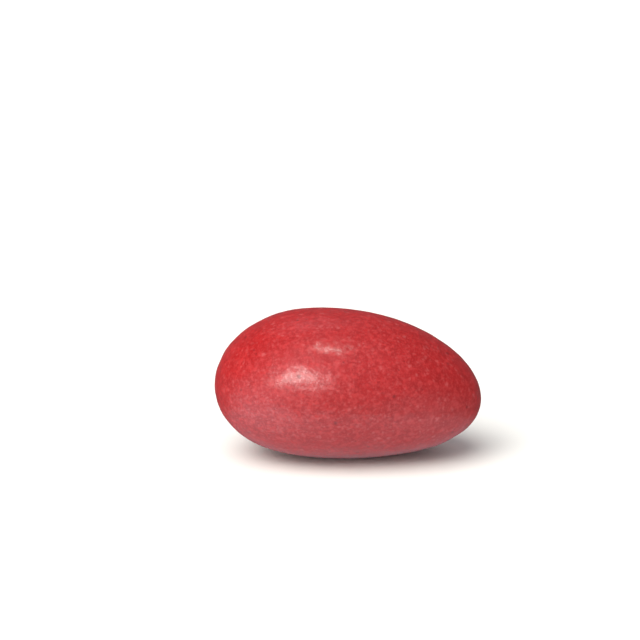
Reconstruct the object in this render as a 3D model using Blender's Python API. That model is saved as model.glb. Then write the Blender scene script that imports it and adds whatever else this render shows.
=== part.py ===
"""Sugared almond: one egg-shaped sweet with a hard sugar shell, resting on its underside.

Frame: X runs along the almond, from the blunt end at -X to the pointed end at +X, Y runs across it,
and Z is up from the surface that it rests on. The origin is the middle of its footprint. Metres.
"""

import math

import bmesh
import bpy
import numpy as np

MM = 0.001

# The almond's size in millimetres, before it is tapered, crowned and pitched.
LENGTH = 26.0
WIDTH = 16.8
THICKNESS = 14.45

# Each section is larger than an ellipsoid's by 1 + taper * u + fullness * u ** 2,
# where u runs along the almond from -1 at the blunt end to 1 at the pointed end.
THICKNESS_TAPER = -0.130
THICKNESS_FULLNESS = 0.064
WIDTH_TAPER = -0.160
WIDTH_FULLNESS = 0.060

# The middle of the almond bows up, and a little to one side, by this much.
CROWN = 0.69
SIDE_BOW = 0.18

# The pointed end is the lighter one, but it is also the slimmer one, and it dips at rest.
PITCH = math.radians(4.4)

# The small flat that it rests on is this deep, and the relief fades out below this height.
FLAT_DEPTH = 0.08
CALM_HEIGHT = 1.6

# Relief of the sugar shell: (wavelength, root mean square height) in millimetres.
RELIEF = ((10.0, 0.034), (4.2, 0.012), (2.4, 0.006))
WAVES = 48
SEED = 26

# Quads along each edge of the cube that is blown up into the almond.
GRID = 28

SHELL_COLOUR = (0.56, 0.046, 0.050, 1.0)
SHELL_ROUGHNESS = 0.36


def clear_scene():
    """Remove every object that the opened file starts with."""
    for thing in list(bpy.data.objects):
        bpy.data.objects.remove(thing, do_unlink=True)


def cube_grid(divisions):
    """A cube from -1 to 1 with each face cut into divisions by divisions quads."""
    grid = bmesh.new()
    bmesh.ops.create_cube(grid, size=2.0)
    bmesh.ops.subdivide_edges(grid, edges=grid.edges[:], cuts=divisions - 1, use_grid_fill=True)
    return grid


def on_sphere(cube_points):
    """Points of the cube moved to the unit sphere, with the quads kept about equal in size."""
    spread = np.tan(cube_points * math.pi / 4)
    return spread / np.linalg.norm(spread, axis=1)[:, None]


def smooth_almond(sphere):
    """The almond without relief, for points of the unit sphere, and the outward directions there."""
    along, across, up = sphere.T
    thickness = THICKNESS / 2 * (1 + THICKNESS_TAPER * along + THICKNESS_FULLNESS * along ** 2)
    width = WIDTH / 2 * (1 + WIDTH_TAPER * along + WIDTH_FULLNESS * along ** 2)
    middle = 1 - along ** 2
    points = np.column_stack((
        LENGTH / 2 * along,
        width * across + SIDE_BOW * middle,
        thickness * up + CROWN * middle,
    ))
    outward = np.column_stack((2 * along / LENGTH, across / width, up / thickness))
    outward /= np.linalg.norm(outward, axis=1)[:, None]
    return points, outward


def pitched(vectors):
    """Turn vectors about Y so that the pointed end dips."""
    cosine, sine = math.cos(PITCH), math.sin(PITCH)
    turn = np.array(((cosine, 0, sine), (0, 1, 0), (-sine, 0, cosine)))
    return vectors @ turn.T


def relief(points):
    """Smooth random height at each point: for each band, waves of one length in all directions."""
    draw = np.random.default_rng(SEED)
    height = np.zeros(len(points))
    for wavelength, rms in RELIEF:
        direction = draw.normal(size=(WAVES, 3))
        direction /= np.linalg.norm(direction, axis=1)[:, None]
        phase = draw.uniform(0, 2 * math.pi, WAVES)
        waves = np.cos(points @ direction.T * (2 * math.pi / wavelength) + phase)
        height += rms * math.sqrt(2 / WAVES) * waves.sum(axis=1)
    return height


def almond_points(sphere):
    """The finished almond's points in millimetres, standing on Z = 0 round the origin."""
    points, outward = smooth_almond(sphere)
    points = pitched(points)
    outward = pitched(outward)
    lowest = points[:, 2].min()
    calm = np.clip((points[:, 2] - lowest) / CALM_HEIGHT, 0, 1)
    calm = calm * calm * (3 - 2 * calm)
    points += outward * (relief(points) * calm)[:, None]
    floor = lowest + FLAT_DEPTH
    points[:, 2] = np.maximum(points[:, 2], floor) - floor
    centre = (points.min(axis=0) + points.max(axis=0)) / 2
    points[:, :2] -= centre[:2]
    return points


def join_flat_underside(grid):
    """Make one face of the quads that lie in the plane Z = 0."""
    flat = [face for face in grid.faces if all(vertex.co.z == 0 for vertex in face.verts)]
    bmesh.ops.dissolve_faces(grid, faces=flat, use_verts=False)


def shell_material():
    """Satin red sugar."""
    material = bpy.data.materials.new("sugar_shell")
    material.use_nodes = True
    shader = material.node_tree.nodes["Principled BSDF"]
    shader.inputs["Base Color"].default_value = SHELL_COLOUR
    shader.inputs["Roughness"].default_value = SHELL_ROUGHNESS
    shader.inputs["Metallic"].default_value = 0.0
    material.diffuse_color = SHELL_COLOUR
    return material


def make_almond():
    """The almond as one closed, smooth-shaded solid."""
    grid = cube_grid(GRID)
    cube_points = np.array([vertex.co[:] for vertex in grid.verts])
    points = almond_points(on_sphere(cube_points)) * MM
    for vertex, point in zip(grid.verts, points):
        vertex.co = point
    join_flat_underside(grid)
    mesh = bpy.data.meshes.new("sugared_almond")
    grid.to_mesh(mesh)
    grid.free()
    mesh.shade_smooth()
    mesh.materials.append(shell_material())
    almond = bpy.data.objects.new("sugared_almond", mesh)
    bpy.context.scene.collection.objects.link(almond)
    return almond


clear_scene()
make_almond()
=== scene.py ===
"""Looks of the sugared almond: a satin red sugar shell on a white floor in soft light.

The almond is made again from the same sizes as its solid, with more faces and with the fine relief of
the shell: soft orange peel and pinholes. Its material adds the pale specks, the grain and painted shade
in the pinholes. Lengths are in millimetres until MM turns them into Blender's metres.
"""

import math

import bmesh
import bpy
import numpy as np
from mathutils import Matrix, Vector


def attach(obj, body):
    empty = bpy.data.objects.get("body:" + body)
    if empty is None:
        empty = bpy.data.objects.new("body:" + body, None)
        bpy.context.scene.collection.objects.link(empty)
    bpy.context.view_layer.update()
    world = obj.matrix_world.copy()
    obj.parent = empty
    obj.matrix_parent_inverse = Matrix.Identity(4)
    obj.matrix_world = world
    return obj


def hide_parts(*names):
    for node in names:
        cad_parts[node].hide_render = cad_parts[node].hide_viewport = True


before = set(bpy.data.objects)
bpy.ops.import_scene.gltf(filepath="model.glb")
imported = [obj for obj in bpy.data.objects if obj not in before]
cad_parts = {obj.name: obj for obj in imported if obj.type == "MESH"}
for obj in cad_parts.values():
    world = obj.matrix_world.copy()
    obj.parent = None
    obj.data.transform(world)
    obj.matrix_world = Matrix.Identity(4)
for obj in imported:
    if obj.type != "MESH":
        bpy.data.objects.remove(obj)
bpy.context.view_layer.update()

MM = 0.001

# ---------------------------------------------------------------- the almond's form, as in its solid
LENGTH = 26.0
WIDTH = 16.8
THICKNESS = 14.45
THICKNESS_TAPER = -0.130
THICKNESS_FULLNESS = 0.064
WIDTH_TAPER = -0.160
WIDTH_FULLNESS = 0.060
CROWN = 0.69
SIDE_BOW = 0.18
PITCH = math.radians(4.4)
FLAT_DEPTH = 0.08
CALM_HEIGHT = 1.6
RELIEF = ((10.0, 0.034), (4.2, 0.012), (2.4, 0.006))
WAVES = 48
SEED = 26

# ---------------------------------------------------------------- what the solid leaves to this script
# Orange peel: (wavelength, root mean square height).
FINE_RELIEF = ((1.6, 0.0075), (0.8, 0.0026))
FINE_SEED = 12

# Quads along each edge of the cube that is blown up into the almond.
GRID = 128

# Pinholes of the shell: one stands in the main highlight, and the others are strewn about.
PINHOLES = 60
PINHOLE_RADIUS = (0.12, 0.24)
PINHOLE_DEPTH = (0.006, 0.022)
PINHOLE_SEED = 11
BRIGHT_PINHOLE = (-0.384, -0.866, 0.322)
BRIGHT_PINHOLE_RADIUS = 0.26
BRIGHT_PINHOLE_DEPTH = 0.030

# The texture map's charts: a column for each axis of the cube and a row for each of its ends.
# The margin is a share of a chart.
CHART_COLUMNS = 3
CHART_ROWS = 2
CHART_MARGIN = 0.02

# ---------------------------------------------------------------- colours and gloss of the shell
RED = (0.338, 0.0064, 0.0067, 1.0)
DEEP_RED = (0.298, 0.0048, 0.0050, 1.0)
MILKY_RED = (0.417, 0.0200, 0.0206, 1.0)
PALE = (0.500, 0.0850, 0.0880, 1.0)
# Painted shade: the colour that the pinholes are darkened towards.
PIT_SHADE = (0.170, 0.0045, 0.0050, 1.0)

# Noises: (features in a millimetre, added octaves, strength of each octave against the last).
MOTTLE = (0.9, 3.0, 0.6)
BLOTCHES = (2.1, 2.0, 0.55)
GRAIN = (4.4, 2.0, 0.6)
BUMPS = (2.4, 2.0, 0.6)
BUMP_HEIGHT = 0.020

# Each pairs low and high levels of the first thing with low and high shares or values of the second.
MOTTLE_TO_RED = ((0.35, 0.65), (0.0, 1.0))
BLOTCHES_TO_MILK = ((0.45, 0.70), (0.0, 1.0))
GRAIN_TO_MILK = ((0.45, 0.72), (0.0, 0.9))
BLOTCHES_TO_ROUGHNESS = ((0.35, 0.65), (0.46, 0.54))
GRAIN_TO_COAT = ((0.45, 0.70), (0.38, 0.62))
# Painted shade in the pinholes: how far the colour goes towards the dark pinhole colour.
PIT_TO_SHADE = ((0.20, 1.0), (0.0, 0.8))

# Pale specks: (cells in a millimetre, radius in cells, share of the cells that have a speck).
SMALL_SPECKS = (2.1, 0.50, 0.55)
SMALL_SPECK_PALENESS = 0.42
LARGE_SPECKS = (1.1, 0.36, 0.45)
LARGE_SPECK_PALENESS = 0.60

# The faintest speck against the strongest, and the share of the radius that is at full strength.
FAINTEST_SPECK = 0.3
SPECK_CORE = 0.1

# A noise pushes the specks' edges about: (features in a millimetre, furthest push).
SPECK_WOBBLE = (3.0, 0.35)

# What a speck at full strength adds to the gloss's roughness and to the height of the bump.
SPECK_ROUGHNESS = 0.10
SPECK_HEIGHT = 0.003

# ---------------------------------------------------------------- camera
CAMERA_HEIGHT = math.radians(13.0)
CAMERA_DISTANCE = 172.2
CAMERA_AIM = (-2.734, 0.0, 13.49)
CAMERA_LENS = 100.0
CAMERA_SENSOR = 36.0
CAMERA_NEAREST = 5.0

# ---------------------------------------------------------------- floor and light
FLOOR_HALF = 4000.0
FLOOR_COLOUR = (0.86, 0.86, 0.86, 1.0)

# To the gloss the floor is partly clear, so that the gloss mirrors some floor near the almond and only
# the room beyond. The clearness goes from the first to the second over these distances from the middle.
# The scale makes the distances longer along X.
FLOOR_CLEARNESS = (0.75, 1.0)
FLOOR_CLEARS_OVER = (2.0, 7.0)
FLOOR_CLEARS_SCALE = (0.65, 1.0, 1.0)

# The colours of the far lights and of the room.
WARM_WHITE = (1.0, 0.99, 0.92)
COOL_WHITE = (1.0, 1.0, 1.12, 1.0)

# Far lights: (name, azimuth, elevation, spread, strength), angles in degrees.
MATTE_LIGHTS = (
    ("key", -40, 60, 60, 2.75),
    ("left_wall", -60, 35, 60, 1.3),
    ("window_wall", -20, 27, 60, 1.2),
    ("right_wall", 66, 30, 60, 0.3),
    ("back_wall", 180, 50, 60, 0.35),
)
MIRRORED_LIGHTS = (
    ("window", -20, 27, 28, 0.5),
    ("window_core", -20, 27, 18, 0.17),
    ("window_sill", -34, 15, 12, 0.18),
    ("lamp", 28, 80, 8, 0.20),
)

# The even light for the matte colour, and the brightness of the room that the gloss mirrors, above and
# below. A direction's Z falls over ROOM_FADE as the brightness turns from one into the other.
AMBIENT = 0.175
ROOM_ABOVE = 0.13
ROOM_BELOW = 0.54
ROOM_FADE = (-0.44, -0.64)

# Soft glows in the mirrored room: (azimuth, elevation, strength, focus), angles in degrees.
GLOWS = (
    (-21, 26, 1.25, 22.0),
    (-60, -27, 1.05, 4.0),
    (45, -20, 0.38, 4.0),
    (-30, 30, 0.33, 4.0),
    (0, 70, 0.40, 4.0),
    (-172, 54, 0.52, 36.0),
)


def cube_grid(divisions):
    """A cube from -1 to 1 with each face cut into divisions by divisions quads."""
    grid = bmesh.new()
    bmesh.ops.create_cube(grid, size=2.0)
    bmesh.ops.subdivide_edges(grid, edges=grid.edges[:], cuts=divisions - 1, use_grid_fill=True)
    return grid


def on_sphere(cube_points):
    """Points of the cube moved to the unit sphere, with the quads kept about equal in size."""
    spread = np.tan(cube_points * math.pi / 4)
    return spread / np.linalg.norm(spread, axis=1)[:, None]


def smooth_almond(sphere):
    """The almond without relief, for points of the unit sphere, and the outward directions there."""
    along, across, up = sphere.T
    thickness = THICKNESS / 2 * (1 + THICKNESS_TAPER * along + THICKNESS_FULLNESS * along ** 2)
    width = WIDTH / 2 * (1 + WIDTH_TAPER * along + WIDTH_FULLNESS * along ** 2)
    middle = 1 - along ** 2
    points = np.column_stack((
        LENGTH / 2 * along,
        width * across + SIDE_BOW * middle,
        thickness * up + CROWN * middle,
    ))
    outward = np.column_stack((2 * along / LENGTH, across / width, up / thickness))
    outward /= np.linalg.norm(outward, axis=1)[:, None]
    return points, outward


def pitched(vectors):
    """Turn vectors about Y so that the pointed end dips."""
    cosine, sine = math.cos(PITCH), math.sin(PITCH)
    turn = np.array(((cosine, 0, sine), (0, 1, 0), (-sine, 0, cosine)))
    return vectors @ turn.T


def waves(points, bands, seed):
    """Smooth random height at each point: for each band, waves of one length in all directions."""
    draw = np.random.default_rng(seed)
    height = np.zeros(len(points))
    for wavelength, rms in bands:
        direction = draw.normal(size=(WAVES, 3))
        direction /= np.linalg.norm(direction, axis=1)[:, None]
        phase = draw.uniform(0, 2 * math.pi, WAVES)
        band = np.cos(points @ direction.T * (2 * math.pi / wavelength) + phase)
        height += rms * math.sqrt(2 / WAVES) * band.sum(axis=1)
    return height


def pinholes(sphere, points):
    """How deep each point lies in a pinhole of the shell, and the share of a pinhole's depth there."""
    draw = np.random.default_rng(PINHOLE_SEED)
    chosen = draw.choice(len(points), PINHOLES, replace=False)
    radii = draw.uniform(*PINHOLE_RADIUS, PINHOLES)
    depths = draw.uniform(*PINHOLE_DEPTH, PINHOLES)
    chosen[0] = (sphere @ BRIGHT_PINHOLE).argmax()
    radii[0] = BRIGHT_PINHOLE_RADIUS
    depths[0] = BRIGHT_PINHOLE_DEPTH
    centres = points[chosen]
    depth = np.zeros(len(points))
    share = np.zeros(len(points))
    for centre, radius, deepest in zip(centres, radii, depths):
        near = np.exp(-((points - centre) ** 2).sum(axis=1) / radius ** 2)
        depth += deepest * near
        share = np.maximum(share, near)
    return depth, share


def almond_points(sphere):
    """The dressed almond's points in millimetres, and the share of a pinhole's depth at each."""
    points, outward = smooth_almond(sphere)
    points = pitched(points)
    outward = pitched(outward)
    lowest = points[:, 2].min()
    calm = np.clip((points[:, 2] - lowest) / CALM_HEIGHT, 0, 1)
    calm = calm * calm * (3 - 2 * calm)
    pit_depth, pit_share = pinholes(sphere, points)
    height = waves(points, RELIEF, SEED) + waves(points, FINE_RELIEF, FINE_SEED) - pit_depth
    points += outward * (height * calm)[:, None]
    floor = lowest + FLAT_DEPTH
    points[:, 2] = np.maximum(points[:, 2], floor) - floor
    centre = (points.min(axis=0) + points.max(axis=0)) / 2
    points[:, :2] -= centre[:2]
    return points, pit_share


def lay_out_charts(mesh, cube_points):
    """A UV map with one square chart for each side of the cube."""
    count = len(mesh.loops)
    corner_vertex = np.empty(count, dtype=np.int32)
    mesh.loops.foreach_get("vertex_index", corner_vertex)
    corners = cube_points[corner_vertex]
    faces = corners.reshape(-1, 4, 3)
    middle = faces.mean(axis=1)
    axis = np.abs(middle).argmax(axis=1)
    side = np.take_along_axis(middle, axis[:, None], axis=1)[:, 0] > 0
    first = (axis + 1) % 3
    second = (axis + 2) % 3
    u = np.take_along_axis(faces, first[:, None, None].repeat(4, 1), axis=2)[:, :, 0]
    v = np.take_along_axis(faces, second[:, None, None].repeat(4, 1), axis=2)[:, :, 0]
    u = np.where(side[:, None], u, -u)
    size = 1 - 2 * CHART_MARGIN
    u = (axis[:, None] + CHART_MARGIN + size * (u + 1) / 2) / CHART_COLUMNS
    v = (side[:, None] + CHART_MARGIN + size * (v + 1) / 2) / CHART_ROWS
    layer = mesh.uv_layers.new(name="OFBake")
    layer.data.foreach_set("uv", np.stack((u, v), axis=2).astype(np.float32).ravel())


def make_almond():
    """The almond with its shell's fine relief, as one closed mesh."""
    grid = cube_grid(GRID)
    cube_points = np.array([vertex.co[:] for vertex in grid.verts])
    points, pit_share = almond_points(on_sphere(cube_points))
    mesh = bpy.data.meshes.new("almond_shell")
    grid.to_mesh(mesh)
    grid.free()
    mesh.vertices.foreach_set("co", (points * MM).astype(np.float32).ravel())
    pits = mesh.attributes.new("pinhole", "FLOAT", "POINT")
    pits.data.foreach_set("value", pit_share.astype(np.float32))
    lay_out_charts(mesh, cube_points)
    mesh.update()
    mesh.shade_smooth()
    almond = bpy.data.objects.new("almond_shell", mesh)
    bpy.context.scene.collection.objects.link(almond)
    return almond


# ---------------------------------------------------------------- materials
# Sockets of the mixing node for colours. It has others with the same names for numbers and vectors.
MIX_SHARE, MIX_FIRST, MIX_SECOND = 0, 6, 7
MIX_RESULT = 2


class Nodes:
    """Adds nodes to a node tree. An input is given as a number, a colour or another node's output."""

    def __init__(self, tree):
        self.tree = tree

    def add(self, kind, inputs=None, **settings):
        made = self.tree.nodes.new(kind)
        for name, value in settings.items():
            setattr(made, name, value)
        for name, value in (inputs or {}).items():
            self.put(value, made.inputs[name])
        return made

    def put(self, value, socket):
        """Link an output to a socket, or set the socket to a number or colour."""
        if isinstance(value, bpy.types.NodeSocket):
            self.tree.links.new(value, socket)
        else:
            socket.default_value = value

    def noise(self, vector, per_mm, detail, roughness):
        """Noise about 0.5 with this many features in a millimetre."""
        made = self.add("ShaderNodeTexNoise", {
            "Vector": vector, "Scale": per_mm, "Detail": detail, "Roughness": roughness,
        })
        return made.outputs["Fac"]

    def wobble(self, vector, per_mm, amount):
        """vector moved about by noise, by up to this many millimetres."""
        noise = self.add("ShaderNodeTexNoise", {"Vector": vector, "Scale": per_mm, "Detail": 1.0})
        moved = self.add("ShaderNodeVectorMath", {
            0: noise.outputs["Color"], 1: (amount, amount, amount), 2: vector,
        }, operation="MULTIPLY_ADD")
        return moved.outputs["Vector"]

    def span(self, value, levels, results, smooth=True):
        """value turned from low and high levels into low and high results, and held at both ends."""
        made = self.add("ShaderNodeMapRange", {
            "Value": value,
            "From Min": levels[0], "From Max": levels[1],
            "To Min": results[0], "To Max": results[1],
        }, interpolation_type="SMOOTHSTEP" if smooth else "LINEAR")
        return made.outputs["Result"]

    def math(self, operation, first, second):
        """The result of one operation on two numbers."""
        made = self.add("ShaderNodeMath", {0: first, 1: second}, operation=operation)
        return made.outputs["Value"]

    def mix(self, share, first, second):
        """The first colour with this share of the second mixed in."""
        made = self.add("ShaderNodeMix", {
            MIX_SHARE: share, MIX_FIRST: first, MIX_SECOND: second,
        }, data_type="RGBA")
        return made.outputs[MIX_RESULT]

    def specks(self, vector, per_mm, radius, kept):
        """Soft dots in this share of a grid's cells: 1 in the middle of the strongest, 0 outside."""
        cells = self.add("ShaderNodeTexVoronoi", {"Vector": vector, "Scale": per_mm})
        dot = self.span(cells.outputs["Distance"], (radius, radius * SPECK_CORE), (0.0, 1.0))
        lottery = self.add("ShaderNodeSeparateColor", {"Color": cells.outputs["Color"]})
        chosen = self.math("LESS_THAN", lottery.outputs["Red"], kept)
        strength = self.span(lottery.outputs["Green"], (0.0, 1.0), (FAINTEST_SPECK, 1.0), smooth=False)
        return self.math("MULTIPLY", self.math("MULTIPLY", dot, chosen), strength)


def shell_material():
    """Satin red sugar: cloudy red with pale specks, painted shade in the pinholes and a finely grained
    gloss.
    """
    material = bpy.data.materials.new("polished_sugar")
    material.use_nodes = True
    nodes = Nodes(material.node_tree)
    shader = material.node_tree.nodes["Principled BSDF"].inputs

    place = nodes.add("ShaderNodeTexCoord").outputs["Object"]
    in_mm = nodes.add("ShaderNodeMapping", {"Vector": place, "Scale": (1 / MM, 1 / MM, 1 / MM)})
    place = in_mm.outputs["Vector"]

    mottle = nodes.noise(place, *MOTTLE)
    blotches = nodes.noise(place, *BLOTCHES)
    grain = nodes.noise(place, *GRAIN)
    colour = nodes.mix(nodes.span(mottle, *MOTTLE_TO_RED), DEEP_RED, RED)
    colour = nodes.mix(nodes.span(blotches, *BLOTCHES_TO_MILK), colour, MILKY_RED)
    colour = nodes.mix(nodes.span(grain, *GRAIN_TO_MILK), colour, MILKY_RED)

    ragged = nodes.wobble(place, *SPECK_WOBBLE)
    small = nodes.math("MULTIPLY", nodes.specks(ragged, *SMALL_SPECKS), SMALL_SPECK_PALENESS)
    large = nodes.math("MULTIPLY", nodes.specks(ragged, *LARGE_SPECKS), LARGE_SPECK_PALENESS)
    specks = nodes.math("MAXIMUM", small, large)
    colour = nodes.mix(specks, colour, PALE)

    # Painted shade: the colour darkens in the pinholes.
    pits = nodes.add("ShaderNodeAttribute", attribute_name="pinhole").outputs["Fac"]
    colour = nodes.mix(nodes.span(pits, *PIT_TO_SHADE), colour, PIT_SHADE)
    nodes.put(colour, shader["Base Color"])

    haze = nodes.span(blotches, *BLOTCHES_TO_ROUGHNESS)
    haze = nodes.math("ADD", haze, nodes.math("MULTIPLY", specks, SPECK_ROUGHNESS))
    nodes.put(haze, shader["Roughness"])
    shader["IOR"].default_value = 1.5
    shader["Specular IOR Level"].default_value = 0.18
    nodes.put(nodes.span(grain, *GRAIN_TO_COAT), shader["Coat Weight"])
    shader["Coat IOR"].default_value = 2.2
    shader["Coat Roughness"].default_value = 0.23
    shader["Subsurface Weight"].default_value = 0.5
    shader["Subsurface Radius"].default_value = (1.2, 0.35, 0.35)
    shader["Subsurface Scale"].default_value = MM

    height = nodes.math("MULTIPLY", nodes.noise(place, *BUMPS), BUMP_HEIGHT)
    height = nodes.math("ADD", height, nodes.math("MULTIPLY", specks, SPECK_HEIGHT))
    bump = nodes.add("ShaderNodeBump", {"Height": height, "Strength": 1.0, "Distance": MM})
    nodes.put(bump.outputs["Normal"], shader["Normal"])
    nodes.put(bump.outputs["Normal"], shader["Coat Normal"])
    return material


def floor_material():
    """Plain white paper, which the gloss mirrors in part, and only near the almond."""
    material = bpy.data.materials.new("white_floor")
    material.use_nodes = True
    nodes = Nodes(material.node_tree)
    shader = material.node_tree.nodes["Principled BSDF"].inputs
    place = nodes.add("ShaderNodeTexCoord").outputs["Object"]
    oval = nodes.add("ShaderNodeVectorMath", {0: place, 1: FLOOR_CLEARS_SCALE}, operation="MULTIPLY")
    reach = nodes.add("ShaderNodeVectorMath", {0: oval.outputs["Vector"]}, operation="LENGTH")
    near, far = FLOOR_CLEARS_OVER
    clear = nodes.span(reach.outputs["Value"], (near * MM, far * MM), FLOOR_CLEARNESS)
    path = nodes.add("ShaderNodeLightPath")
    clear = nodes.math("MULTIPLY", clear, path.outputs["Is Glossy Ray"])
    nodes.put(nodes.math("SUBTRACT", 1.0, clear), shader["Alpha"])
    shader["Base Color"].default_value = FLOOR_COLOUR
    shader["Roughness"].default_value = 0.9
    shader["Specular IOR Level"].default_value = 0.2
    return material


# ---------------------------------------------------------------- stage, camera and lights
def make_floor():
    """A wide, flat sheet of paper at Z = 0."""
    half = FLOOR_HALF * MM
    corners = ((-half, -half, 0), (half, -half, 0), (half, half, 0), (-half, half, 0))
    mesh = bpy.data.meshes.new("floor")
    mesh.from_pydata(corners, (), ((0, 1, 2, 3),))
    mesh.materials.append(floor_material())
    floor = bpy.data.objects.new("floor", mesh)
    bpy.context.scene.collection.objects.link(floor)


def make_camera():
    """A camera that looks along +Y and a little down."""
    data = bpy.data.cameras.new("camera")
    data.lens = CAMERA_LENS
    data.sensor_width = CAMERA_SENSOR
    data.clip_start = CAMERA_NEAREST * MM
    camera = bpy.data.objects.new("camera", data)
    back = Vector((0, -math.cos(CAMERA_HEIGHT), math.sin(CAMERA_HEIGHT)))
    camera.location = (Vector(CAMERA_AIM) + back * CAMERA_DISTANCE) * MM
    camera.rotation_euler = back.to_track_quat("Z", "Y").to_euler()
    bpy.context.scene.collection.objects.link(camera)
    bpy.context.scene.camera = camera


def toward_light(azimuth, elevation):
    """The direction of a light. Azimuth 0 is the camera's side and positive is the camera's right."""
    azimuth, elevation = math.radians(azimuth), math.radians(elevation)
    return Vector((
        math.sin(azimuth) * math.cos(elevation),
        -math.cos(azimuth) * math.cos(elevation),
        math.sin(elevation),
    ))


def make_light(name, azimuth, elevation, spread, strength, mirrored):
    """A far, soft light that is either mirrored in the gloss or lights the matte colour."""
    data = bpy.data.lights.new(name, "SUN")
    data.angle = math.radians(spread)
    data.energy = strength
    data.color = WARM_WHITE
    light = bpy.data.objects.new(name, data)
    light.rotation_euler = toward_light(azimuth, elevation).to_track_quat("Z", "Y").to_euler()
    light.visible_diffuse = not mirrored
    light.visible_glossy = mirrored
    bpy.context.scene.collection.objects.link(light)


def make_world():
    """Even light for the matte colour, a room to be mirrored in the gloss, and white for the camera."""
    world = bpy.data.worlds.new("white_room")
    world.use_nodes = True
    nodes = Nodes(world.node_tree)
    direction = nodes.add("ShaderNodeTexCoord").outputs["Generated"]
    height = nodes.add("ShaderNodeSeparateXYZ", {"Vector": direction}).outputs["Z"]
    mirrored = nodes.span(height, ROOM_FADE, (ROOM_ABOVE, ROOM_BELOW))
    for azimuth, elevation, strength, focus in GLOWS:
        middle = toward_light(azimuth, elevation)
        nearness = nodes.add("ShaderNodeVectorMath", {0: direction, 1: middle}, operation="DOT_PRODUCT")
        glow = nodes.math("POWER", nodes.math("MAXIMUM", nearness.outputs["Value"], 0.0), focus)
        mirrored = nodes.math("ADD", mirrored, nodes.math("MULTIPLY", glow, strength))

    # Gloss that is seen directly mirrors the room. It throws only the even light on to matte colours.
    path = nodes.add("ShaderNodeLightPath")
    direct = nodes.math("LESS_THAN", path.outputs["Diffuse Depth"], 1.0)
    in_gloss = nodes.math("MULTIPLY", path.outputs["Is Glossy Ray"], direct)
    seen = nodes.add("ShaderNodeMix", {"Factor": in_gloss, "A": AMBIENT, "B": mirrored})
    strength = nodes.math("MAXIMUM", seen.outputs["Result"], path.outputs["Is Camera Ray"])
    background = world.node_tree.nodes["Background"].inputs
    background["Color"].default_value = COOL_WHITE
    nodes.put(strength, background["Strength"])
    bpy.context.scene.world = world


# ---------------------------------------------------------------- put together
almond = make_almond()
almond.data.materials.append(shell_material())
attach(almond, "root")
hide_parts("sugared_almond")

make_floor()
make_camera()
for light in MATTE_LIGHTS:
    make_light(*light, mirrored=False)
for light in MIRRORED_LIGHTS:
    make_light(*light, mirrored=True)
make_world()
bpy.context.scene.view_settings.view_transform = "Standard"
